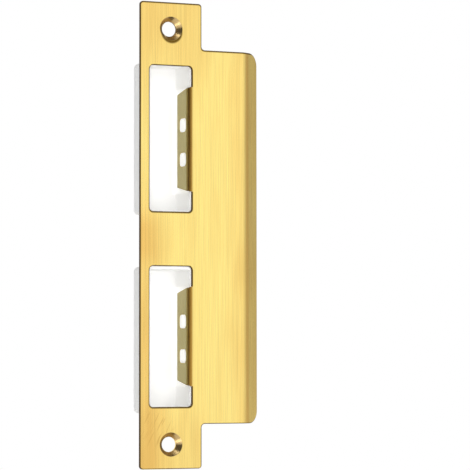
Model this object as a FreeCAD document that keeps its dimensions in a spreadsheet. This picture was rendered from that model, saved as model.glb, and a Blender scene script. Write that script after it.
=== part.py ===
import FreeCAD, Part
import Sketcher
import math
import os

# Door strike plate with two dust boxes, in millimetres.
# The origin is on the back of the plate, midway between the two screw holes.
# X runs towards the lip, Y runs back into the door frame and Z runs up.
# The front face of the sheet lies at Y = -sheetThickness, the back at Y = 0.

doc = FreeCAD.newDocument("StrikePlate")
sizes = doc.addObject("Spreadsheet::Sheet", "Sizes")

drivingSizes = [
    ("sheetThickness", 1.2, "thickness of the folded sheet"),
    ("frontRounding", 0.3, "rounding of the front edges round the plate and its openings"),
    ("plateWidth", 24.0, "width of the long narrow strip"),
    ("topMargin", 9.6, "upper screw to the top end of the strip"),
    ("bottomMargin", 8.8, "lower screw to the bottom end of the strip"),
    ("plateCorner", 1.2, "corner radius at the ends of the strip"),
    ("lipMargin", 6.25, "far end of each opening to that end of the lip"),
    ("lipReach", 15.5, "side of the strip to the line where the lip bends"),
    ("lipInnerCorner", 1.3, "radius in the corner between strip and lip"),
    ("lipBendRadius", 4.8, "inside radius of the lip's bend"),
    ("lipBendAngle", 32.0, "angle that the lip's outer part turns back, in degrees"),
    ("lipFlangeLength", 6.0, "flat length of the lip's outer part after the bend"),
    ("lipFlangeCorner", 4.6, "corner radius of the lip's outer part"),
    ("openingWidth", 16.6, "width of both openings"),
    ("openingCorner", 1.4, "corner radius of both openings"),
    ("bridgeHeight", 19.85, "sheet left between the two openings"),
    ("latchOpeningHeight", 53.25, "height of the upper opening"),
    ("boltOpeningHeight", 51.0, "height of the lower opening"),
    ("tabSetback", 0.57, "side of the opening to the line where a tab bends"),
    ("tabBendRadius", 1.0, "inside radius of a tab's bend"),
    ("tabDepth", 9.55, "plate back to the free edge of a tab"),
    ("tabMargin", 7.5, "end of an opening to the side of its tab"),
    ("tabTaper", 2.0, "how much each side of a tab draws in over its depth"),
    ("tabCorner", 0.5, "corner radius at the free edge of a tab"),
    ("windowDepth", 6.1, "size of a tab's window along the tab's depth"),
    ("windowHeight", 5.15, "height of a tab's window"),
    ("windowCorner", 1.6, "corner radius of a tab's window"),
    ("windowSetback", 0.05, "end of the tab's bend to its windows"),
    ("windowPitch", 12.65, "distance between the two windows of a tab"),
    ("windowDrop", 0.8, "middle of a tab down to the middle of its windows"),
    ("screwMargin", 13.6, "far end of each opening to its screw"),
    ("screwHole", 5.5, "diameter of a screw hole"),
    ("screwSeat", 8.3, "diameter of the countersunk seat at the front face"),
    ("screwSeatDepth", 2.2, "depth of the countersunk seat"),
    ("screwLand", 0.7, "length of the straight hole behind the seat"),
    ("screwRim", 1.1, "wall round the straight hole behind the seat"),
    ("screwRounding", 0.8, "rounding of the seat's outer edge"),
    ("boxWall", 1.2, "wall of a dust box"),
    ("boxDepth", 15.2, "plate back to the outside of a dust box's floor"),
    ("boxHeadroom", 0.1, "opening's end to the inside of a dust box, each end"),
    ("latchBoxShift", 0.65, "how far the upper dust box sits above its opening's middle"),
    ("boltBoxShift", 1.2, "how far the lower dust box sits below its opening's middle"),
    ("boxDraft", 3.0, "draft of a dust box's wall away from the tab, in degrees"),
    ("boxCorner", 0.6, "inside radius of a dust box's corners"),
    ("bendClearance", 0.1, "clearance of a dust box round the tab's bend"),
    ("lugClearance", 0.1, "clearance of a lug in its window, each side"),
    ("lugRecess", 0.05, "depth of a lug's end below the face of the tab"),
    ("lugToe", 0.3, "height of a lug where its ramp starts"),
    ("lugRamp", 3.0, "length of the ramp that lets a lug snap in"),
]
for row, (alias, number, meaning) in enumerate(drivingSizes, start=1):
    sizes.set("A%d" % row, meaning)
    sizes.set("B%d" % row, str(number))
    sizes.setAlias("B%d" % row, alias)
doc.recompute()

near = 0.01          # two places this close are the same place
up = FreeCAD.Vector(0, 0, 1)

# Places that more than one piece is worked out from.
lipBendX = "(Sizes.plateWidth / 2 + Sizes.lipReach)"
tabBendX = "(Sizes.openingWidth / 2 + Sizes.tabSetback)"
tabBackX = "(Sizes.openingWidth / 2 + Sizes.tabSetback - Sizes.tabBendRadius)"
tabFaceX = "(" + tabBackX + " - Sizes.sheetThickness)"
windowStart = "(Sizes.tabBendRadius + Sizes.windowSetback)"
windowEnd = "(" + windowStart + " + Sizes.windowDepth)"
openingReach = "((Sizes.latchOpeningHeight + Sizes.bridgeHeight + Sizes.boltOpeningHeight) / 2)"
latchMiddle = "(" + openingReach + " - Sizes.latchOpeningHeight / 2)"
boltMiddle = "(Sizes.boltOpeningHeight / 2 - " + openingReach + ")"
lipReachZ = "(" + openingReach + " + Sizes.lipMargin)"
screwReach = "(" + openingReach + " + Sizes.screwMargin)"
plateTop = "(" + screwReach + " + Sizes.topMargin)"
plateBottom = "(-" + screwReach + " - Sizes.bottomMargin)"
throughSheet = "(Sizes.sheetThickness * 3)"      # cut both ways from the back of the sheet


def measure(text):
    """Number that a size or a sum of sizes comes to."""
    result = sizes.evalExpression(text)
    return float(getattr(result, "Value", result))


def originItem(body, role):
    """One of the planes or axes of a body's own frame."""
    return [item for item in body.Origin.OriginFeatures if item.Role == role][0]


frontY = -measure("Sizes.sheetThickness")


def addSketch(body, name, role, offset="0", shift="0"):
    """Empty sketch on one of the body's own planes, moved along its normal and up."""
    sketch = body.newObject("Sketcher::SketchObject", name)
    sketch.AttachmentSupport = [(originItem(body, role), "")]
    sketch.MapMode = "FlatFace"
    sketch.setExpression(".AttachmentOffset.Base.z", offset)
    sketch.setExpression(".AttachmentOffset.Base.y", shift)
    return sketch


def bind(sketch, kind, places, text):
    """Constraint whose size follows the sheet."""
    index = sketch.addConstraint(Sketcher.Constraint(kind, *places, measure(text)))
    sketch.setExpression("Constraints[%d]" % index, text)


def pin(sketch, item, end, across, up):
    """Hold one end of a line or arc at a place measured from the sketch's origin."""
    bind(sketch, "DistanceX", (-1, 1, item, end), across)
    bind(sketch, "DistanceY", (-1, 1, item, end), up)


def addOutline(sketch, corners):
    """Closed outline of straight lines through the corners."""
    points = [FreeCAD.Vector(measure(across), measure(up), 0) for across, up in corners]
    lines = []
    for start, end in zip(points, points[1:] + points[:1]):
        lines.append(addLine(sketch, start, end))
    for line, following in zip(lines, lines[1:] + lines[:1]):
        sketch.addConstraint(Sketcher.Constraint("Coincident", line, 2, following, 1))
    for line, (across, up) in zip(lines, corners):
        pin(sketch, line, 1, across, up)


def addRectangle(sketch, left, right, low, high):
    addOutline(sketch, [(left, low), (right, low), (right, high), (left, high)])


def addRoundedRectangle(sketch, left, right, low, high, radius):
    """Rectangle with four round corners, as lines and arcs that run into each other."""
    x0, x1, y0, y1 = measure(left), measure(right), measure(low), measure(high)
    r = measure(radius)
    ends = [
        ((x0 + r, y0), (x1 - r, y0)),
        ((x1, y0 + r), (x1, y1 - r)),
        ((x1 - r, y1), (x0 + r, y1)),
        ((x0, y1 - r), (x0, y0 + r)),
    ]
    centres = [(x1 - r, y0 + r), (x1 - r, y1 - r), (x0 + r, y1 - r), (x0 + r, y0 + r)]
    lines = []
    arcs = []
    for side in range(4):
        start, end = [FreeCAD.Vector(*point, 0) for point in ends[side]]
        lines.append(addLine(sketch, start, end))
        circle = Part.Circle(FreeCAD.Vector(*centres[side], 0), up, r)
        arc = Part.ArcOfCircle(circle, math.radians(90 * (side - 1)), math.radians(90 * side))
        arcs.append(sketch.addGeometry(arc, False))
    for side in range(4):
        sketch.addConstraint(Sketcher.Constraint("Tangent", lines[side], 2, arcs[side], 1))
        sketch.addConstraint(Sketcher.Constraint("Tangent", arcs[side], 2, lines[(side + 1) % 4], 1))
        level = "Horizontal" if side % 2 == 0 else "Vertical"
        sketch.addConstraint(Sketcher.Constraint(level, lines[side]))
    for arc in arcs[1:]:
        sketch.addConstraint(Sketcher.Constraint("Equal", arcs[0], arc))
    bind(sketch, "Radius", (arcs[0],), radius)
    bind(sketch, "DistanceY", (-1, 1, lines[0], 1), low)
    bind(sketch, "DistanceX", (-1, 1, lines[1], 1), right)
    bind(sketch, "DistanceY", (-1, 1, lines[2], 1), high)
    bind(sketch, "DistanceX", (-1, 1, lines[3], 1), left)


def addBendArcs(sketch, x, radius, start, end):
    """Back and front of the sheet where it turns about a line behind it, angles in degrees."""
    inner = measure(radius)
    centre = FreeCAD.Vector(measure(x), inner, 0)
    arcs = []
    for size in (inner, inner + measure("Sizes.sheetThickness")):
        arc = Part.ArcOfCircle(Part.Circle(centre, up, size), math.radians(start), math.radians(end))
        arcs.append(sketch.addGeometry(arc, False))
    back, front = arcs
    sketch.addConstraint(Sketcher.Constraint("Coincident", front, 3, back, 3))
    pin(sketch, front, 3, x, radius)
    bind(sketch, "Radius", (back,), radius)
    bind(sketch, "Radius", (front,), radius + " + Sizes.sheetThickness")
    return back, front


def joinEnds(sketch, pairs):
    """Hold each two ends together, each end given as a line or arc and its start 1 or end 2."""
    for first, second in pairs:
        sketch.addConstraint(Sketcher.Constraint("Coincident", *first, *second))


def addLine(sketch, start, end):
    return sketch.addGeometry(Part.LineSegment(start, end), False)


def addPad(body, sketch, name, length, symmetric=False, reverse=False):
    pad = body.newObject("PartDesign::Pad", name)
    pad.Profile = sketch
    pad.SideType = "Symmetric" if symmetric else "One side"
    pad.Reversed = reverse
    pad.setExpression("Length", length)
    return pad


def addPocket(body, sketch, name, length, symmetric=False):
    """Cut that runs against the sketch's normal, or both ways from it."""
    pocket = body.newObject("PartDesign::Pocket", name)
    pocket.Profile = sketch
    pocket.SideType = "Symmetric" if symmetric else "One side"
    pocket.setExpression("Length", length)
    return pocket


def addFillet(body, name, radius, chosen):
    """Round the edges of the body so far that the test picks."""
    doc.recompute()
    base = body.Tip
    names = ["Edge%d" % (i + 1) for i, edge in enumerate(base.Shape.Edges) if chosen(edge)]
    if not names:
        raise RuntimeError("no edge to round for " + name)
    fillet = body.newObject("PartDesign::Fillet", name)
    fillet.Base = (base, names)
    fillet.setExpression("Radius", radius)
    return fillet


def addShell(body, name, wall, isMouth):
    """Hollow the body so far, open at the faces that the test picks."""
    doc.recompute()
    base = body.Tip
    mouth = ["Face%d" % (i + 1) for i, face in enumerate(base.Shape.Faces) if isMouth(face)]
    shell = body.newObject("PartDesign::Thickness", name)
    shell.Base = (base, mouth)
    shell.Reversed = True
    shell.setExpression("Value", wall)
    return shell


def isAlong(edge, axis):
    """True for a straight edge that runs along one axis, given as 0, 1 or 2."""
    if edge.Curve.TypeId != "Part::GeomLine":
        return False
    spans = (edge.BoundBox.XLength, edge.BoundBox.YLength, edge.BoundBox.ZLength)
    return all(span < near for i, span in enumerate(spans) if i != axis)


def isAt(edge, x=None, y=None, z=None):
    """True where the middle of the edge has the places given, whichever side of the middle."""
    middle = edge.BoundBox.Center
    wanted = ((x, middle.x), (y, middle.y), (z, middle.z))
    return all(abs(place - found) < near for place, found in wanted if place is not None)


def makeTab(body, name, middle, openingHeight):
    """Tab left standing in an opening, folded back a right angle at the lip side."""
    halfSpan = "(" + openingHeight + " / 2 - Sizes.tabMargin)"

    notch = addSketch(body, name + "NotchOutline", "XZ_Plane")
    addRectangle(notch, "0", tabBendX, middle + " - " + halfSpan, middle + " + " + halfSpan)
    addPocket(body, notch, name + "Notch", throughSheet, symmetric=True)

    # Quarter turn of the sheet, from the plate to the flat of the tab.
    bend = addSketch(body, name + "BendSection", "XY_Plane", middle)
    back, front = addBendArcs(bend, tabBendX, "Sizes.tabBendRadius", 180, 270)
    bendX, radius = measure(tabBendX), measure("Sizes.tabBendRadius")
    root = addLine(bend, FreeCAD.Vector(bendX, 0, 0), FreeCAD.Vector(bendX, frontY, 0))
    end = addLine(bend, FreeCAD.Vector(bendX - radius + frontY, radius, 0),
                  FreeCAD.Vector(bendX - radius, radius, 0))
    joinEnds(bend, [((root, 2), (front, 2)), ((front, 1), (end, 1)),
                    ((end, 2), (back, 1)), ((back, 2), (root, 1))])
    bend.addConstraint(Sketcher.Constraint("Vertical", root))
    bend.addConstraint(Sketcher.Constraint("Horizontal", end))
    bend.addConstraint(Sketcher.Constraint("Vertical", back, 2, back, 3))
    bend.addConstraint(Sketcher.Constraint("Horizontal", back, 1, back, 3))
    addPad(body, bend, name + "Bend", "2 * " + halfSpan, symmetric=True)

    flat = addSketch(body, name + "FlatOutline", "YZ_Plane", tabFaceX, middle)
    addRectangle(flat, "Sizes.tabBendRadius", "Sizes.tabDepth", "-" + halfSpan, halfSpan)
    addPad(body, flat, name + "Flat", "Sizes.sheetThickness")

    # Each side draws in, from the front of the bend to the free edge.
    for end, out, inwards in (("Upper", halfSpan, " - "), ("Lower", "-" + halfSpan, " + ")):
        side = addSketch(body, name + end + "SideOutline", "YZ_Plane", tabBendX, middle)
        addOutline(side, [
            ("-Sizes.sheetThickness", out),
            ("Sizes.tabDepth", out),
            ("Sizes.tabDepth", out + inwards + "Sizes.tabTaper"),
        ])
        addPocket(body, side, name + end + "Side", "Sizes.tabBendRadius + Sizes.sheetThickness")
    addFillet(body, name + "Corners", "Sizes.tabCorner", lambda edge: (
        isAlong(edge, 0) and isAt(edge, y=measure("Sizes.tabDepth"))
        and abs(edge.BoundBox.Center.z - measure(middle)) < measure(halfSpan)))

    # The cut starts just behind the tab, so that the lip is left alone.
    windows = addSketch(body, name + "WindowOutlines", "YZ_Plane", tabBackX, middle)
    for side in ("- Sizes.windowPitch / 2", "+ Sizes.windowPitch / 2"):
        height = "(" + side + " - Sizes.windowDrop)"
        addRoundedRectangle(windows, windowStart, windowEnd,
                            height + " - Sizes.windowHeight / 2",
                            height + " + Sizes.windowHeight / 2", "Sizes.windowCorner")
    addPocket(body, windows, name + "Windows", throughSheet)


def makeStrikePlate():
    body = doc.addObject("PartDesign::Body", "strike_plate")
    halfWidth = "Sizes.plateWidth / 2"

    # Flat of the strip and the lip, as far as the line where the lip bends.
    blank = addSketch(body, "BlankOutline", "XZ_Plane")
    addOutline(blank, [
        ("-" + halfWidth, plateBottom),
        (halfWidth, plateBottom),
        (halfWidth, "-" + lipReachZ),
        (lipBendX, "-" + lipReachZ),
        (lipBendX, lipReachZ),
        (halfWidth, lipReachZ),
        (halfWidth, plateTop),
        ("-" + halfWidth, plateTop),
    ])
    addPad(body, blank, "Blank", "Sizes.sheetThickness")
    ends = (measure(plateTop), measure(plateBottom))
    addFillet(body, "StripCorners", "Sizes.plateCorner", lambda edge: (
        isAlong(edge, 1) and any(isAt(edge, z=place) for place in ends)))
    addFillet(body, "LipInnerCorners", "Sizes.lipInnerCorner", lambda edge: (
        isAlong(edge, 1) and isAt(edge, x=measure(halfWidth))
        and abs(abs(edge.BoundBox.Center.z) - measure(lipReachZ)) < near))

    # Outer part of the lip: a bend, then a flat that leans back.
    lip = addSketch(body, "LipSection", "XY_Plane")
    bendX = measure(lipBendX)
    radius = measure("Sizes.lipBendRadius")
    length = measure("Sizes.lipFlangeLength")
    angle = measure("Sizes.lipBendAngle")
    lean = FreeCAD.Rotation(up, angle)
    run = lean.multVec(FreeCAD.Vector(length, 0, 0))
    centre = FreeCAD.Vector(bendX, radius, 0)
    frontTurn = centre + lean.multVec(FreeCAD.Vector(0, frontY - radius, 0))
    backTurn = centre + lean.multVec(FreeCAD.Vector(0, -radius, 0))
    back, front = addBendArcs(lip, lipBendX, "Sizes.lipBendRadius", -90, angle - 90)
    root = addLine(lip, FreeCAD.Vector(bendX, 0, 0), FreeCAD.Vector(bendX, frontY, 0))
    face = addLine(lip, frontTurn, frontTurn + run)
    end = addLine(lip, frontTurn + run, backTurn + run)
    rear = addLine(lip, backTurn + run, backTurn)
    joinEnds(lip, [((root, 2), (front, 1)), ((face, 2), (end, 1)),
                   ((end, 2), (rear, 1)), ((back, 1), (root, 1))])
    lip.addConstraint(Sketcher.Constraint("Vertical", root))
    lip.addConstraint(Sketcher.Constraint("Vertical", back, 1, back, 3))
    lip.addConstraint(Sketcher.Constraint("Tangent", front, 2, face, 1))
    lip.addConstraint(Sketcher.Constraint("Tangent", back, 2, rear, 2))
    lip.addConstraint(Sketcher.Constraint("Perpendicular", face, end))
    bind(lip, "Distance", (face,), "Sizes.lipFlangeLength")
    bind(lip, "Angle", (face,), "Sizes.lipBendAngle * 1 deg")
    addPad(body, lip, "LipFlange", "2 * " + lipReachZ, symmetric=True)

    # A corner can't take more than the flat that it is cut from.
    addFillet(body, "LipOuterCorners",
              "min(Sizes.lipFlangeCorner; Sizes.lipFlangeLength - %g)" % near,
              lambda edge: (edge.BoundBox.ZLength < near
                            and abs(edge.Length + frontY) < near
                            and edge.BoundBox.XMin > bendX + length / 2
                            and abs(abs(edge.BoundBox.Center.z) - measure(lipReachZ)) < near))
    addFillet(body, "FrontRounding", "Sizes.frontRounding", lambda edge: (
        isAlong(edge, 2) and isAt(edge, x=-measure(halfWidth), y=frontY)))

    # Two openings, each with the tab that was bent out of it.
    for name, middle, height in (("Latch", latchMiddle, "Sizes.latchOpeningHeight"),
                                 ("Bolt", boltMiddle, "Sizes.boltOpeningHeight")):
        opening = addSketch(body, name + "OpeningOutline", "XZ_Plane")
        addRoundedRectangle(opening, "-Sizes.openingWidth / 2", "Sizes.openingWidth / 2",
                            middle + " - " + height + " / 2", middle + " + " + height + " / 2",
                            "Sizes.openingCorner")
        addPocket(body, opening, name + "Opening", throughSheet, symmetric=True)
        addFillet(body, name + "OpeningRounding", "Sizes.frontRounding", lambda edge: (
            isAlong(edge, 0) and isAt(edge, y=frontY)
            and abs(abs(edge.BoundBox.Center.z - measure(middle)) - measure(height) / 2) < near))
        makeTab(body, name + "Tab", middle, height)

    # Screw seats are pressed back through the sheet, so each stands out behind the plate.
    tip = "(Sizes.screwSeatDepth + Sizes.screwLand - Sizes.sheetThickness)"
    lean = "((Sizes.screwSeat - Sizes.screwHole) / 2 / Sizes.screwSeatDepth)"
    tipRadius = "(Sizes.screwHole / 2 + Sizes.screwRim)"
    dimple = addSketch(body, "DimpleSection", "YZ_Plane", "0", screwReach)
    addOutline(dimple, [
        ("0", "0"),
        (tip, "0"),
        (tip, tipRadius),
        ("0", tipRadius + " + " + tip + " * " + lean),
    ])
    boss = body.newObject("PartDesign::Revolution", "Dimple")
    boss.Profile = dimple
    boss.ReferenceAxis = (dimple, ["H_Axis"])
    boss.Angle = 360

    seat = addSketch(body, "SeatSection", "YZ_Plane", "0", screwReach)
    addOutline(seat, [
        ("-Sizes.sheetThickness", "0"),
        (tip, "0"),
        (tip, "Sizes.screwHole / 2"),
        ("Sizes.screwSeatDepth - Sizes.sheetThickness", "Sizes.screwHole / 2"),
        ("-Sizes.sheetThickness", "Sizes.screwSeat / 2"),
    ])
    hole = body.newObject("PartDesign::Groove", "Seat")
    hole.Profile = seat
    hole.ReferenceAxis = (seat, ["H_Axis"])
    hole.Angle = 360
    doc.recompute()

    mirror = body.newObject("PartDesign::Mirrored", "LowerScrewHole")
    mirror.Originals = [boss, hole]
    mirror.MirrorPlane = (originItem(body, "XY_Plane"), [""])
    body.Tip = mirror
    addFillet(body, "SeatRounding", "Sizes.screwRounding", lambda edge: (
        edge.Curve.TypeId == "Part::GeomCircle" and isAt(edge, x=0.0, y=frontY)
        and abs(edge.Curve.Radius - measure("Sizes.screwSeat / 2")) < near))
    return body


def makeDustBox(name, middle, openingHeight, shift):
    """Moulded box that closes the pocket behind one opening."""
    body = doc.addObject("PartDesign::Body", name)
    centre = "(" + middle + " + " + shift + ")"
    left = "(-Sizes.openingWidth / 2 - Sizes.boxWall)"
    right = "(" + tabBackX + " + Sizes.boxWall)"
    height = "(" + openingHeight + " + 2 * Sizes.boxHeadroom + 2 * Sizes.boxWall)"

    # The wall beside the tab stays square to the plate, and the one opposite is drafted.
    section = addSketch(body, name + "Section", "XY_Plane", centre)
    addOutline(section, [
        (left, "0"),
        (right, "0"),
        (right, "Sizes.boxDepth"),
        (left + " + Sizes.boxDepth * tan(Sizes.boxDraft * 1 deg)", "Sizes.boxDepth"),
    ])
    addPad(body, section, name + "Block", height, symmetric=True)
    addFillet(body, name + "Corners", "Sizes.boxCorner + Sizes.boxWall",
              lambda edge: edge.BoundBox.YMax > measure("Sizes.boxDepth") - near)
    addShell(body, name + "Shell", "Sizes.boxWall", lambda face: face.BoundBox.YMax < near)

    # Relief where the tab's bend runs past the rim.
    halfSpan = "(" + openingHeight + " / 2 - Sizes.tabMargin + Sizes.bendClearance)"
    relief = addSketch(body, name + "ReliefOutline", "XZ_Plane")
    addRectangle(relief, tabBackX + " - Sizes.boxWall", tabBackX + " + Sizes.boxWall * 2",
                 middle + " - " + halfSpan, middle + " + " + halfSpan)
    addPocket(body, relief, name + "Relief", "Sizes.tabBendRadius + Sizes.bendClearance")

    # Two lugs snap into the tab's windows. Each has a ramp on the side that enters first.
    lugFaceX = "(" + tabFaceX + " + Sizes.lugRecess)"
    lugStart = "(" + windowStart + " + Sizes.lugClearance)"
    lugEnd = "(" + windowEnd + " - Sizes.lugClearance)"
    halfLug = "(Sizes.windowHeight / 2 - Sizes.lugClearance)"
    lowLug = "(" + middle + " - Sizes.windowDrop - Sizes.windowPitch / 2)"
    lug = addSketch(body, name + "LugOutline", "YZ_Plane", tabBackX + " + Sizes.boxWall / 2", lowLug)
    addRoundedRectangle(lug, lugStart, lugEnd, "-" + halfLug, halfLug,
                        "Sizes.windowCorner - Sizes.lugClearance")
    lugPad = addPad(body, lug, name + "Lug",
                    "Sizes.boxWall / 2 + Sizes.sheetThickness - Sizes.lugRecess", reverse=True)
    ramp = addSketch(body, name + "RampSection", "XY_Plane", lowLug)
    addOutline(ramp, [
        (tabBackX + " - Sizes.lugToe", lugStart),
        (lugFaceX, lugStart + " + Sizes.lugRamp"),
        (lugFaceX + " - Sizes.sheetThickness", lugStart + " + Sizes.lugRamp"),
        (lugFaceX + " - Sizes.sheetThickness", lugStart),
    ])
    rampCut = addPocket(body, ramp, name + "Ramp", "Sizes.windowHeight", symmetric=True)
    doc.recompute()
    pair = body.newObject("PartDesign::LinearPattern", name + "Lugs")
    pair.Originals = [lugPad, rampCut]
    pair.Direction = (originItem(body, "Z_Axis"), [""])
    pair.Mode = "Extent"
    pair.setExpression("Length", "Sizes.windowPitch")
    pair.Occurrences = 2
    body.Tip = pair
    return body


bodies = [
    makeStrikePlate(),
    makeDustBox("latch_dust_box", latchMiddle, "Sizes.latchOpeningHeight", "Sizes.latchBoxShift"),
    makeDustBox("bolt_dust_box", boltMiddle, "Sizes.boltOpeningHeight", "-Sizes.boltBoxShift"),
]
doc.recompute()

for item in doc.Objects:
    if "Invalid" in item.State or "Error" in item.State:
        raise RuntimeError(item.Name + " could not be built: " + ", ".join(item.State))

os.makedirs("parts", exist_ok=True)
for body in bodies:
    body.Placement = FreeCAD.Placement()
    body.Label = body.Name
    if body.Shape.isNull() or not body.Shape.isValid():
        raise RuntimeError(body.Label + " has no sound shape")
    box = body.Shape.BoundBox
    print(body.Label, "solids", len(body.Shape.Solids), "volume", round(body.Shape.Volume, 3),
          "from", [round(v, 2) for v in (box.XMin, box.YMin, box.ZMin)],
          "to", [round(v, 2) for v in (box.XMax, box.YMax, box.ZMax)])
    body.Shape.exportStep("parts/" + body.Label + ".step")
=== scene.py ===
import math

import bpy
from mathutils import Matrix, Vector


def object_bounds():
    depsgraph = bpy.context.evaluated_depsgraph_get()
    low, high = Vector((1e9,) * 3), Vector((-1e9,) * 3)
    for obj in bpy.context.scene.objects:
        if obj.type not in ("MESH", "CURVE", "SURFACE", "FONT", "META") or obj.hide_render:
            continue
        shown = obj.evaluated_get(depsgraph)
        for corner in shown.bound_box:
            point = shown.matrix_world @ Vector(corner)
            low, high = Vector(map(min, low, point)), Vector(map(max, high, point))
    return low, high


# Brass strike plate with two white dust boxes. +X runs towards the lip, +Y back into the door frame
# and +Z up. The scene is in metres, and the values that are in millimetres say so.

mm = 0.001
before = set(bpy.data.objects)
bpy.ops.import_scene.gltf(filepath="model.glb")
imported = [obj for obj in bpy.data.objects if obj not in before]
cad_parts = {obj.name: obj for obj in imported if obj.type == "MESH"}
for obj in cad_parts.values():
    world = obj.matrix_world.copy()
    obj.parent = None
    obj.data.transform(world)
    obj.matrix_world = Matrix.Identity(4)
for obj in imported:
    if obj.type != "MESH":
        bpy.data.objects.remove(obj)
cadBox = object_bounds()
scene = bpy.context.scene
scene.view_settings.view_transform = "Standard"
print("frame loaded:", ", ".join(sorted(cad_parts)))


def fromScreen(colour):
    # a colour as a screen shows it, turned into the linear values that nodes use
    def curve(part):
        part /= 255
        return part / 12.92 if part <= 0.04045 else ((part + 0.055) / 1.055) ** 2.4
    return (*map(curve, colour), 1.0)


def node(tree, kind, **settings):
    made = tree.nodes.new(kind)
    for name, value in settings.items():
        setattr(made, name, value)
    return made


def join(tree, source, target):
    # a plain value is set on the socket, and a socket is linked to it
    if isinstance(source, bpy.types.NodeSocket):
        tree.links.new(source, target)
    else:
        target.default_value = source


def maths(tree, operation, first, second=0.0, third=0.0):
    made = node(tree, "ShaderNodeMath", operation=operation)
    for socket, value in zip(made.inputs, (first, second, third)):
        join(tree, value, socket)
    return made.outputs[0]


def vectorMaths(tree, operation, first, second, result="Vector"):
    made = node(tree, "ShaderNodeVectorMath", operation=operation)
    join(tree, first, made.inputs[0])
    join(tree, second, made.inputs[1])
    return made.outputs[result]


def times(tree, *factors):
    product = factors[0]
    for factor in factors[1:]:
        product = maths(tree, "MULTIPLY", product, factor)
    return product


def hypotenuse(tree, first, second):
    squares = [maths(tree, "MULTIPLY", side, side) for side in (first, second)]
    return maths(tree, "SQRT", maths(tree, "ADD", *squares))


def remap(tree, value, low, high, toLow=0.0, toHigh=1.0, smooth=True):
    made = node(tree, "ShaderNodeMapRange", interpolation_type="SMOOTHSTEP" if smooth else "LINEAR")
    for socket, number in zip(made.inputs, (value, low, high, toLow, toHigh)):
        join(tree, number, socket)
    return made.outputs[0]


def ramp(tree, value, limits):
    # limits hold a start and an end in millimetres, and the values there where they aren't 0 and 1
    start, end, *values = limits
    return remap(tree, value, start * mm, end * mm, *values)


def spread(tree, value, least, most):
    # noise stays mostly between 0.3 and 0.7, and that range is spread over the wanted one
    return remap(tree, value, 0.3, 0.7, least, most, smooth=False)


def within(tree, value, band):
    # 1 where the value lies in a band, given by its middle and half width in millimetres
    return maths(tree, "COMPARE", value, band[0] * mm, band[1] * mm)


def mixColour(tree, factor, first, second, blend="MIX"):
    made = node(tree, "ShaderNodeMix", data_type="RGBA", blend_type=blend)
    join(tree, factor, made.inputs[0])
    join(tree, first, made.inputs[6])
    join(tree, second, made.inputs[7])
    return made.outputs[2]


def noise(tree, spot, scale=1.0, detail=2.0, roughness=0.5):
    made = node(tree, "ShaderNodeTexNoise")
    join(tree, spot, made.inputs["Vector"])
    made.inputs["Scale"].default_value = scale
    made.inputs["Detail"].default_value = detail
    made.inputs["Roughness"].default_value = roughness
    return made.outputs["Fac"]


def bumped(tree, height, strength, depth):
    made = node(tree, "ShaderNodeBump")
    made.inputs["Strength"].default_value = strength
    made.inputs["Distance"].default_value = depth * mm
    join(tree, height, made.inputs["Height"])
    return made.outputs[0]


def objectPlace(tree):
    return node(tree, "ShaderNodeTexCoord").outputs["Object"]


def split(tree, vector):
    made = node(tree, "ShaderNodeSeparateXYZ")
    join(tree, vector, made.inputs[0])
    return made.outputs


def newGroup(name, inputs, masks, normals=()):
    tree = bpy.data.node_groups.new(name, "ShaderNodeTree")
    for socketName, value in inputs.items():
        kind = "NodeSocketVector" if isinstance(value, tuple) else "NodeSocketFloat"
        tree.interface.new_socket(socketName, in_out="INPUT", socket_type=kind).default_value = value
    for socketName in masks:
        tree.interface.new_socket(socketName, in_out="OUTPUT", socket_type="NodeSocketFloat")
    for socketName in normals:
        tree.interface.new_socket(socketName, in_out="OUTPUT", socket_type="NodeSocketVector")
    return tree, node(tree, "NodeGroupInput").outputs, node(tree, "NodeGroupOutput").inputs


def place(tree, group, values):
    made = node(tree, "ShaderNodeGroup", node_tree=group)
    for name, value in values.items():
        join(tree, value, made.inputs[name])
    return made.outputs


def newMaterial(name):
    material = bpy.data.materials.new(name)
    material.use_nodes = True
    return material, material.node_tree


# Long fine lines along Z, as a belt leaves them, with slower cloudy patches under them.
def buildBrushing():
    tree, given, result = newGroup(
        "brushing",
        {"Line Width": 0.3 * mm, "Line Length": 30 * mm, "Patch Width": 4 * mm, "Patch Length": 20 * mm},
        ("Lines", "Fine", "Patches"))
    spot = objectPlace(tree)

    def stretched(width, length, detail, roughness):
        size = node(tree, "ShaderNodeCombineXYZ")
        for socket, value in zip(size.inputs, (width, width, length)):
            join(tree, value, socket)
        return noise(tree, vectorMaths(tree, "DIVIDE", spot, size.outputs[0]), 1.0, detail, roughness)

    join(tree, stretched(given["Line Width"], given["Line Length"], 3.0, 0.6), result["Lines"])
    # the finest lines are about a third as wide as the others and a good half as long
    fineWidth = maths(tree, "MULTIPLY", given["Line Width"], 0.37)
    fineLength = maths(tree, "MULTIPLY", given["Line Length"], 0.6)
    join(tree, stretched(fineWidth, fineLength, 2.0, 0.5), result["Fine"])
    join(tree, stretched(given["Patch Width"], given["Patch Length"], 1.0, 0.5), result["Patches"])
    return tree


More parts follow.
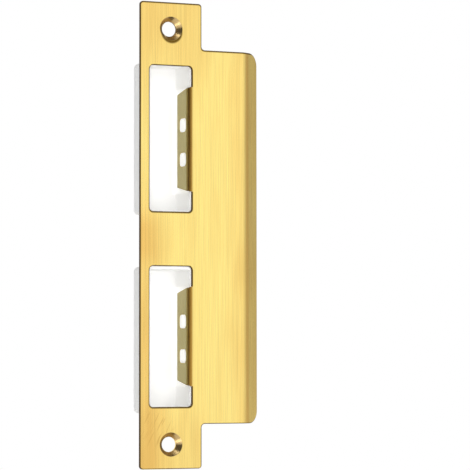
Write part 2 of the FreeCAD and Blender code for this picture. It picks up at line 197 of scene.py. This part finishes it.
# Short slanting marks round one place, as handling leaves them.
def buildScratches():
    tree, given, result = newGroup(
        "scratches",
        {"Middle": (0, 0, 0), "Reach": 8 * mm, "Lean": -0.45, "Width": 0.5 * mm, "Length": 7 * mm},
        ("Marks",))
    spot = objectPlace(tree)
    leaning = node(tree, "ShaderNodeVectorRotate", rotation_type="Y_AXIS")
    join(tree, vectorMaths(tree, "SUBTRACT", spot, given["Middle"]), leaning.inputs["Vector"])
    join(tree, given["Lean"], leaning.inputs["Angle"])
    size = node(tree, "ShaderNodeCombineXYZ")
    for socket, name in zip(size.inputs, ("Width", "Width", "Length")):
        join(tree, given[name], socket)
    streaks = noise(tree, vectorMaths(tree, "DIVIDE", leaning.outputs[0], size.outputs[0]), 1.0, 1.0)
    marks = remap(tree, streaks, 0.56, 0.7)      # only the strongest streaks show
    away = vectorMaths(tree, "DISTANCE", spot, given["Middle"], "Value")
    fading = remap(tree, maths(tree, "DIVIDE", away, given["Reach"]), 1.0, 0.4)
    join(tree, maths(tree, "MULTIPLY", marks, fading), result["Marks"])
    return tree


# Distance from the border of a rounded rectangle, less than zero inside it.
def buildRoundedBox():
    names = ("X", "Z", "Middle X", "Middle Z", "Half X", "Half Z", "Corner")
    tree, given, result = newGroup("roundedBox", dict.fromkeys(names, 0.0), ("Distance",))
    beyond = []
    for side in ("X", "Z"):
        offset = maths(tree, "ABSOLUTE", maths(tree, "SUBTRACT", given[side], given["Middle " + side]))
        inner = maths(tree, "SUBTRACT", given["Half " + side], given["Corner"])
        beyond.append(maths(tree, "SUBTRACT", offset, inner))
    outside = hypotenuse(tree, *[maths(tree, "MAXIMUM", value, 0.0) for value in beyond])
    inside = maths(tree, "MINIMUM", maths(tree, "MAXIMUM", *beyond), 0.0)
    square = maths(tree, "ADD", outside, inside)
    join(tree, maths(tree, "SUBTRACT", square, given["Corner"]), result["Distance"])
    return tree


brushing = buildBrushing()
scratches = buildScratches()
roundedBox = buildRoundedBox()


# Places on the plate that the finish and the painted shade follow, in millimetres. Bands are a middle and a
# half width.
sheet = {
    "tab": (7.27, 0.68),             # band of both tabs across the plate, with a little to spare
    "latchTab": (35.4, 19.2),        # bands of the tabs along the plate
    "boltTab": (-36.5, 18.2),
    "tabBend": (7.8, 1.3),           # band of the bends that join the tabs to the face
    "tabDepth": (-0.9, 1.1),         # the tabs' painted shade comes in over this depth
    "windows": (5, 3.6),             # band of the tabs' windows in depth
    "lugCover": 0.8,                 # share of a window's cut edge that its lug hides
    "lipStart": 20,
    "crease": 30.5,                  # where the lip's bend runs out
    "bridge": -1,                    # height of the bridge between the openings
    "screwHeight": 75.65,
    "seatRim": (4.5, 4.2),           # radii where a screw seat begins and is full
    "ringPitch": 0.22,               # rings that turning leaves in a seat
    "ringLean": 0.03,
    "dimpleRadius": 5.8,             # a seat's back, where it stands out behind the sheet
    "shadeBelowSeat": (0.25, 74.4),            # middle of the painted shade under the upper seat, across and up
    "shadeBelowSeatRim": (4.55, 3.75),
    "scratched": (-6, -1.2, -70),    # middle of the slanting marks
    "rimShift": (-0.08, -0.25),      # the painted edge shade is wider on the left and on top
    "rimBand": (-0.42, -0.26),       # distances from the edge where it begins and is full
    "cornerBlend": 2.6,              # rounding where lip and strip meet
    "strip": (0, 0.4, 12, 84.85, 1.2),           # outlines: middle, half size and corner
    "lip": (29, 0, 31, 68.3, 0),
    "latchOpening": (0, 35.425, 8.3, 26.625, 1.4),
    "boltOpening": (0, -36.55, 8.3, 25.5, 1.4),
}
# How far the normal has turned where a zone begins and where it is full.
turns = {
    "tab": (0.45, 0.75),
    "left": (-0.15, -0.4),
    "upright": (0.04, 0.16),
    "right": 0.04,
    "rightOnLip": 0.6,               # the lip's own bend turns to the right without being an edge
    "rightSpan": 0.12,
    "seat": -0.2,                    # a seat faces the front at least this much
}


def besideTabs(tree, z):
    # 1 at the heights of the two tabs
    return maths(tree, "ADD", within(tree, z, sheet["latchTab"]), within(tree, z, sheet["boltTab"]))


def outline(tree, x, z, name):
    middleX, middleZ, halfX, halfZ, corner = sheet[name]
    return place(tree, roundedBox, {
        "X": x, "Z": z, "Middle X": middleX * mm, "Middle Z": middleZ * mm,
        "Half X": halfX * mm, "Half Z": halfZ * mm, "Corner": corner * mm})["Distance"]


# Masks for the parts of the sheet that the belt doesn't reach, and for the painted shade on it.
def buildSheetZones():
    masks = ("Tab", "Bend", "Cut Edge And Shade", "Edge Shade", "Seat", "Shade Below Seat")
    tree, _, result = newGroup("sheetZones", {}, masks, ("Seat Normal",))
    x, y, z = split(tree, objectPlace(tree))
    normalX, normalY, normalZ = split(tree, node(tree, "ShaderNodeNewGeometry").outputs["Normal"])

    # Painted shade on the tabs' inner faces, which face sideways.
    onTab = within(tree, x, sheet["tab"])
    sideways = remap(tree, maths(tree, "ABSOLUTE", normalX), *turns["tab"])
    join(tree, times(tree, onTab, sideways, ramp(tree, y, sheet["tabDepth"])), result["Tab"])

    up = maths(tree, "SUBTRACT", maths(tree, "ABSOLUTE", z), sheet["screwHeight"] * mm)
    radius = hypotenuse(tree, x, up)
    fromFront = maths(tree, "LESS_THAN", normalY, turns["seat"])
    seat = times(tree, ramp(tree, radius, sheet["seatRim"]), fromFront)
    offSeat = maths(tree, "GREATER_THAN", radius, sheet["dimpleRadius"] * mm)
    join(tree, seat, result["Seat"])

    # The seats are turned: an even cone with fine rings, whatever the rounding at its rim.
    rings = maths(tree, "SINE", maths(tree, "MULTIPLY", radius, 2 * math.pi / (sheet["ringPitch"] * mm)))
    lean = maths(tree, "MULTIPLY_ADD", rings, sheet["ringLean"], -1.0)
    cone = node(tree, "ShaderNodeCombineXYZ")
    join(tree, times(tree, lean, maths(tree, "DIVIDE", x, radius)), cone.inputs[0])
    cone.inputs[1].default_value = -1.0
    rise = times(tree, maths(tree, "SIGN", z), maths(tree, "DIVIDE", up, radius))
    join(tree, times(tree, lean, rise), cone.inputs[2])
    join(tree, vectorMaths(tree, "NORMALIZE", cone.outputs[0], (0, 0, 0)), result["Seat Normal"])

    # Painted shade: a dark crescent below the upper seat.
    across = maths(tree, "SUBTRACT", x, sheet["shadeBelowSeat"][0] * mm)
    above = maths(tree, "SUBTRACT", z, sheet["shadeBelowSeat"][1] * mm)
    shadeBelowSeat = ramp(tree, hypotenuse(tree, across, above), sheet["shadeBelowSeatRim"])
    join(tree, times(tree, shadeBelowSeat, maths(tree, "SUBTRACT", 1.0, seat)), result["Shade Below Seat"])

    # A surface is an edge where it turns up, down or sideways, the bends of lip and tabs left out.
    # Its tone is the stamped edge's own duller metal, with painted shade on the edges' roundings.
    onBend = times(tree, besideTabs(tree, z), within(tree, x, sheet["tabBend"]))
    offBend = maths(tree, "SUBTRACT", 1.0, onBend)
    onLip = maths(tree, "GREATER_THAN", x, sheet["lipStart"] * mm)
    offLip = maths(tree, "SUBTRACT", 1.0, onLip)
    leftTurn = remap(tree, normalX, *turns["left"])
    # Painted shade on the bends where the tabs turn back.
    join(tree, times(tree, onBend, leftTurn), result["Bend"])
    leftward = times(tree, offBend, offLip, leftTurn)
    rightStart = maths(tree, "MULTIPLY_ADD", onLip, turns["rightOnLip"] - turns["right"], turns["right"])
    rightward = remap(tree, normalX, rightStart, maths(tree, "ADD", rightStart, turns["rightSpan"]))
    upright = remap(tree, maths(tree, "ABSOLUTE", normalZ), *turns["upright"])
    cut = maths(tree, "MAXIMUM", upright, maths(tree, "MAXIMUM", leftward, rightward))
    inWindow = times(tree, onTab, within(tree, y, sheet["windows"]))
    shown = maths(tree, "MULTIPLY_ADD", inWindow, -sheet["lugCover"], 1.0)
    join(tree, times(tree, cut, shown, offSeat), result["Cut Edge And Shade"])

    # Painted shade: a dark band on the face next to its edges, wider on the left of the sheet and on top.
    shiftedX = maths(tree, "SUBTRACT", x, sheet["rimShift"][0] * mm)
    shiftedZ = maths(tree, "SUBTRACT", z, sheet["rimShift"][1] * mm)
    strip, lip, latchOpening, boltOpening = [
        outline(tree, shiftedX, shiftedZ, name) for name in ("strip", "lip", "latchOpening", "boltOpening")]
    plate = maths(tree, "SMOOTH_MIN", strip, lip, sheet["cornerBlend"] * mm)
    openings = maths(tree, "MINIMUM", latchOpening, boltOpening)
    edge = maths(tree, "MAXIMUM", plate, maths(tree, "MULTIPLY", openings, -1.0))
    join(tree, times(tree, ramp(tree, edge, sheet["rimBand"]), offBend, offSeat), result["Edge Shade"])
    return tree


# Colours are as a screen shows them, and lengths are in millimetres.
brass = {
    "tones": {
        "bright": (254, 228, 137),   # middle of the lip
        "dimReflectionAndPatches": (236, 193, 107),     # painted dimmer reflection: lower left margin, bridge and ends
        # painted shade along the lip's bend
        "crease": (236, 194, 108),
        "scratch": (206, 166, 88),
        "bend": (226, 172, 78),      # painted shade where a tab turns back
        "innerBend": (146, 110, 50),             # darker painted shade on the last of that bend, next to the tab
        "tab": (158, 146, 90),       # inner faces of the tabs: painted shade and reflection of the white boxes
        "rim": (110, 88, 40),        # painted shade on the face next to an edge
        "cutEdgeAndShade": (76, 54, 15),     # stamped edges: duller metal, and painted shade on their roundings
        "seat": (205, 176, 122),     # turned screw seats
        "shadeBelowSeat": (112, 86, 32),       # painted shade under the upper seat
    },
    "lineSize": (0.34, 26),          # width and length of the lines, and of the patches
    "patchSize": (5.5, 24),
    "lineShade": (0.89, 1.07),       # darkest and lightest line
    "patchWarmth": 0.14,
    "creaseShadeWidth": (1.1, 0.3),       # distances from the crease where its painted shade begins and is full
    "innerBendStart": (7.7, 7.0),    # the same across the plate for the last of a tab's bend
    "scratchReach": 9,
    "scratchStrength": 0.6,
    "rimStrength": 0.9,
    "roughness": (0.24, 0.33),       # smoothest and roughest line
    "seatRoughness": 0.26,
    "specular": 0.05,
    "anisotropy": 0.35,
    "bumpStrength": 0.25,
    "bumpDepth": 0.01,
}
# Where the brass is painted dimmer and warmer, a painted reflection: a start and an end in millimetres, and
# the values there.
dimReflectionSpans = {
    "left": (2, -10),                # across the strip to its left margin
    "margin": (24, 0, 0.05, 0.66),   # down that margin
    "bridge": (12, 3, 0.0, 0.35),    # distance from the bridge's middle
    "ends": (40, 80),                # distance up or down
    "strip": (18, 10),               # the ends are warmer on the strip alone
    "endStrength": (-40, 40, 0.36, 0.48),
    "lip": (20, 28, 0.0, 0.4),       # towards the lip's bend
}


# How far the tone goes to the dimmer, warmer one, from 0 to 1: a painted dimmer reflection on the lower
# left margin, at both ends and towards the lip's bend, broken up by the patches' random tone.
def dimReflectionAndPatchPlaces(tree, x, z, patches):
    fromBridge = maths(tree, "ABSOLUTE", maths(tree, "SUBTRACT", z, sheet["bridge"] * mm))
    along = maths(tree, "ADD", ramp(tree, z, dimReflectionSpans["margin"]), ramp(tree, fromBridge, dimReflectionSpans["bridge"]))
    parts = [
        times(tree, ramp(tree, x, dimReflectionSpans["left"]), along),
        times(tree, ramp(tree, maths(tree, "ABSOLUTE", z), dimReflectionSpans["ends"]), ramp(tree, x, dimReflectionSpans["strip"]),
              ramp(tree, z, dimReflectionSpans["endStrength"])),
        ramp(tree, x, dimReflectionSpans["lip"]),
        spread(tree, patches, -brass["patchWarmth"], brass["patchWarmth"]),
    ]
    dimReflectionAndPatches = parts[0]
    for part in parts[1:]:
        dimReflectionAndPatches = maths(tree, "ADD", dimReflectionAndPatches, part)
    return maths(tree, "MAXIMUM", 0.0, maths(tree, "MINIMUM", 1.0, dimReflectionAndPatches))


def brushedBrass():
    material, tree = newMaterial("brushedBrass")
    shader = tree.nodes["Principled BSDF"]
    tones = {name: fromScreen(colour) for name, colour in brass["tones"].items()}
    grain = place(tree, brushing, {
        "Line Width": brass["lineSize"][0] * mm, "Line Length": brass["lineSize"][1] * mm,
        "Patch Width": brass["patchSize"][0] * mm, "Patch Length": brass["patchSize"][1] * mm})
    zones = place(tree, buildSheetZones(), {})
    x, _, z = split(tree, objectPlace(tree))

    tone = mixColour(tree, dimReflectionAndPatchPlaces(tree, x, z, grain["Patches"]), tones["bright"], tones["dimReflectionAndPatches"])
    tone = mixColour(tree, 1.0, tone, spread(tree, grain["Lines"], *brass["lineShade"]), "MULTIPLY")
    fromCrease = maths(tree, "ABSOLUTE", maths(tree, "SUBTRACT", x, sheet["crease"] * mm))
    marks = place(tree, scratches, {
        "Middle": Vector(sheet["scratched"]) * mm, "Reach": brass["scratchReach"] * mm})["Marks"]
    bend = mixColour(tree, ramp(tree, x, brass["innerBendStart"]), tones["bend"], tones["innerBend"])
    # each zone lies over the ones before it: crease, bend, tab, edge and below-seat zones are painted
    # shade, the cut edge partly
    for mask, colour in (
            (ramp(tree, fromCrease, brass["creaseShadeWidth"]), tones["crease"]),
            (times(tree, marks, brass["scratchStrength"]), tones["scratch"]),
            (zones["Bend"], bend),
            (zones["Tab"], tones["tab"]),
            (times(tree, zones["Edge Shade"], brass["rimStrength"]), tones["rim"]),
            (zones["Cut Edge And Shade"], tones["cutEdgeAndShade"]),
            (zones["Seat"], tones["seat"]),
            (zones["Shade Below Seat"], tones["shadeBelowSeat"])):
        tone = mixColour(tree, mask, tone, colour)
    join(tree, tone, shader.inputs["Base Color"])

    polish = spread(tree, grain["Fine"], *brass["roughness"])
    polish = remap(tree, zones["Seat"], 0.0, 1.0, polish, brass["seatRoughness"])
    join(tree, polish, shader.inputs["Roughness"])
    join(tree, maths(tree, "SUBTRACT", 1.0, zones["Cut Edge And Shade"]), shader.inputs["Metallic"])
    shader.inputs["Specular IOR Level"].default_value = brass["specular"]
    shader.inputs["Anisotropic"].default_value = brass["anisotropy"]
    bump = bumped(tree, grain["Fine"], brass["bumpStrength"], brass["bumpDepth"])
    turned = node(tree, "ShaderNodeMix", data_type="VECTOR")
    join(tree, zones["Seat"], turned.inputs[0])
    join(tree, bump, turned.inputs[4])
    join(tree, zones["Seat Normal"], turned.inputs[5])
    join(tree, turned.outputs[1], shader.inputs["Normal"])
    return material


# Lengths are in millimetres here too, and the two scales count per metre.
plastic = {
    "white": (254, 254, 253),
    "shade": (250, 250, 249),
    "flowScale": 90,                 # soft shading from the mould's flow
    "textureScale": 2500,            # fine matt texture of the mould
    "roughness": (0.45, 0.55),
    "bumpStrength": 0.2,
    "bumpDepth": 0.02,
    "lugs": (7.3, 0.75),             # band of the lugs that fill the tabs' windows
    "paintedLugGlow": 0.16,
    "glow": 0.2,                     # light that soaks through the thin walls
    "glowDepth": 3,
    "glowTint": (1.0, 0.98, 0.95),
}


def mouldedPlastic():
    material, tree = newMaterial("mouldedPlastic")
    shader = tree.nodes["Principled BSDF"]
    spot = objectPlace(tree)
    flow = remap(tree, noise(tree, spot, plastic["flowScale"], 2.0), 0.35, 0.65)
    tone = mixColour(tree, flow, fromScreen(plastic["white"]), fromScreen(plastic["shade"]))
    join(tree, tone, shader.inputs["Base Color"])
    texture = noise(tree, spot, plastic["textureScale"], 3.0)
    join(tree, remap(tree, texture, 0.3, 0.7, *plastic["roughness"]), shader.inputs["Roughness"])
    bump = bumped(tree, texture, plastic["bumpStrength"], plastic["bumpDepth"])
    join(tree, bump, shader.inputs["Normal"])

    # Painted glow: the lugs in the tabs' windows give off light, in place of light from behind through
    # their wall.
    x, _, z = split(tree, spot)
    glowingLugs = times(tree, within(tree, x, plastic["lugs"]), besideTabs(tree, z))
    join(tree, mixColour(tree, glowingLugs, (0, 0, 0, 1), (1, 1, 1, 1)), shader.inputs["Emission Color"])
    shader.inputs["Emission Strength"].default_value = plastic["paintedLugGlow"]
    shader.inputs["Subsurface Weight"].default_value = plastic["glow"]
    shader.inputs["Subsurface Radius"].default_value = plastic["glowTint"]
    shader.inputs["Subsurface Scale"].default_value = plastic["glowDepth"] * mm
    return material


def dress(name, material):
    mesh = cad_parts[name].data
    mesh.materials.clear()
    mesh.materials.append(material)


dress("strike_plate", brushedBrass())
boxPlastic = mouldedPlastic()
for boxName in ("latch_dust_box", "bolt_dust_box"):
    dress(boxName, boxPlastic)
print("finishes made")


# Studio, in metres: a pale floor well below, white behind, softboxes in front and behind.
studio = {
    "floorDrop": 0.9,                # the plate hangs clear of the floor, as it does when it is fixed
    "floorSize": 30.0,
    "floor": (246, 246, 246),
    "floorRoughness": 0.9,
    "floorWhite": 0.98,              # share of plain white in the floor as camera and metal see it
    "fill": 0.6,                     # level of the light that comes from all round
    "front": 1.145,                  # levels that the metal sees in front and on either side
    "leftFlag": 0.1,
    "rightFlag": 0.51,
    "leftSpan": (0.3, -0.68),        # where each side begins and is full, as the X or Y of a direction
    "rightSpan": (0.62, 0.97),
    "backSpan": (0.55, 0.9),
}


def flatPiece(name, width, height, material):
    across, up = width / 2, height / 2
    corners = [(-across, -up, 0), (across, -up, 0), (across, up, 0), (-across, up, 0)]
    mesh = bpy.data.meshes.new(name)
    mesh.from_pydata(corners, [], [(0, 1, 2, 3)])
    mesh.materials.append(material)
    piece = bpy.data.objects.new(name, mesh)
    scene.collection.objects.link(piece)
    return piece


def mirroredRays(tree, rays):
    return maths(tree, "MAXIMUM", rays.outputs["Is Glossy Ray"], rays.outputs["Is Transmission Ray"])


def buildFloor():
    material, tree = newMaterial("paleFloor")
    shader = tree.nodes["Principled BSDF"]
    shader.inputs["Base Color"].default_value = fromScreen(studio["floor"])
    shader.inputs["Roughness"].default_value = studio["floorRoughness"]
    white = node(tree, "ShaderNodeEmission")
    rays = node(tree, "ShaderNodeLightPath")
    seen = maths(tree, "MAXIMUM", rays.outputs["Is Camera Ray"], mirroredRays(tree, rays))
    blend = node(tree, "ShaderNodeMixShader")
    join(tree, maths(tree, "MULTIPLY", seen, studio["floorWhite"]), blend.inputs[0])
    join(tree, shader.outputs[0], blend.inputs[1])
    join(tree, white.outputs[0], blend.inputs[2])
    join(tree, blend.outputs[0], tree.nodes["Material Output"].inputs["Surface"])
    floor = flatPiece("floor", studio["floorSize"], studio["floorSize"], material)
    floor.location.z = cadBox[0].z - studio["floorDrop"]


def buildWorld():
    world = bpy.data.worlds.new("studio")
    scene.world = world
    world.use_nodes = True
    tree = world.node_tree
    background = tree.nodes["Background"]
    rays = node(tree, "ShaderNodeLightPath")
    across, deep, _ = split(tree, node(tree, "ShaderNodeTexCoord").outputs["Generated"])

    # What metal sees: a bright front, a dark flag on the left, a grey one on the right, white behind.
    left = remap(tree, across, *studio["leftSpan"], smooth=False)
    seen = maths(tree, "MULTIPLY_ADD", left, studio["leftFlag"] - studio["front"], studio["front"])
    right = remap(tree, across, *studio["rightSpan"])
    seen = maths(tree, "MULTIPLY_ADD", right, studio["rightFlag"] - studio["front"], seen)
    behind = times(tree, remap(tree, deep, *studio["backSpan"]), maths(tree, "SUBTRACT", 1.0, right))
    seen = maths(tree, "MULTIPLY_ADD", seen, maths(tree, "SUBTRACT", 1.0, behind), behind)

    beyondFill = maths(tree, "SUBTRACT", seen, studio["fill"])
    level = maths(tree, "MULTIPLY_ADD", mirroredRays(tree, rays), beyondFill, studio["fill"])
    level = maths(tree, "MAXIMUM", level, rays.outputs["Is Camera Ray"])
    background.inputs["Color"].default_value = (1, 1, 1, 1)
    join(tree, level, background.inputs["Strength"])


# Softboxes: azimuth 0 is straight in front of the plate and 90 on the lip's side, in degrees.
softboxes = {
    "keySoftbox": {"azimuth": -8, "elevation": -2, "distance": 1.5, "size": (1.7, 1.7), "level": 2.15},
    "backSoftbox": {"azimuth": 130, "elevation": 15, "distance": 1.5, "size": (1.4, 1.4), "level": 1.6},
}


def buildSoftbox(name, azimuth, elevation, distance, size, level):
    turn, lift = math.radians(azimuth), math.radians(elevation)
    way = Vector((math.sin(turn) * math.cos(lift), -math.cos(turn) * math.cos(lift), math.sin(lift)))
    lamp = bpy.data.lights.new(name, "AREA")
    lamp.shape = "RECTANGLE"
    lamp.size, lamp.size_y = size
    lamp.energy = level * math.pi * size[0] * size[1]
    holder = bpy.data.objects.new(name, lamp)
    scene.collection.objects.link(holder)
    holder.visible_glossy = False
    holder.location = way * distance
    holder.rotation_euler = way.to_track_quat("Z", "Y").to_euler()


# Cards that only metal sees. The turned screw seats catch them: dark above, below and on the right,
# one small bright card low on the left and one high up.
cards = {
    "flagBelow": {"way": (0.26, 0.12, -0.95), "distance": 0.78, "size": (1.0, 0.62), "level": 0.1},
    "flagAbove": {"way": (0.26, 0.18, 0.95), "distance": 0.88, "size": (1.2, 0.72), "level": 0.1},
    "flagRight": {"way": (0.86, 0.46, 0.0), "distance": 1.0, "size": (0.36, 1.6), "level": 0.12},
    "cardBelow": {"way": (-0.76, -0.38, -0.52), "distance": 1.3, "size": (0.42, 0.42), "level": 3.0},
    "cardAbove": {"way": (-0.49, -0.19, 0.85), "distance": 1.3, "size": (0.42, 0.42), "level": 2.2},
}


def buildCard(name, way, distance, size, level):
    material, tree = newMaterial(name)
    glow = node(tree, "ShaderNodeEmission")
    glow.inputs["Strength"].default_value = level
    join(tree, glow.outputs[0], tree.nodes["Material Output"].inputs["Surface"])
    card = flatPiece(name, *size, material)
    card.location = Vector(way).normalized() * distance
    card.rotation_euler = Vector(way).to_track_quat("Z", "Y").to_euler()
    for kind in ("camera", "diffuse", "transmission", "volume_scatter", "shadow"):
        setattr(card, "visible_" + kind, False)


buildFloor()
buildWorld()
for cardName, settings in cards.items():
    buildCard(cardName, **settings)
for lampName, settings in softboxes.items():
    buildSoftbox(lampName, **settings)
print("studio lit")


camera = {
    "position": (-335.86, -849.48, -46.75),      # millimetres
    "azimuth": 23.057,               # turned to the right from straight in, in degrees
    "pitch": 2.948,
    "roll": -0.055,
    "sensor": 36,
    "focalLength": 2515 / 470 * 36,  # the frame is 470 pixels wide and the sensor 36 mm
    "nearest": 10,
}


def buildCamera():
    lens = bpy.data.cameras.new("camera")
    lens.sensor_width = camera["sensor"]
    lens.lens = camera["focalLength"]
    lens.clip_start = camera["nearest"] * mm
    holder = bpy.data.objects.new("camera", lens)
    scene.collection.objects.link(holder)
    turn, lift = math.radians(camera["azimuth"]), math.radians(camera["pitch"])
    forward = Vector((math.sin(turn) * math.cos(lift), math.cos(turn) * math.cos(lift), math.sin(lift)))
    holder.location = Vector(camera["position"]) * mm
    holder.rotation_euler = forward.to_track_quat("-Z", "Y").to_euler()
    holder.rotation_euler.rotate_axis("Z", math.radians(camera["roll"]))
    scene.camera = holder


buildCamera()
print("camera set")
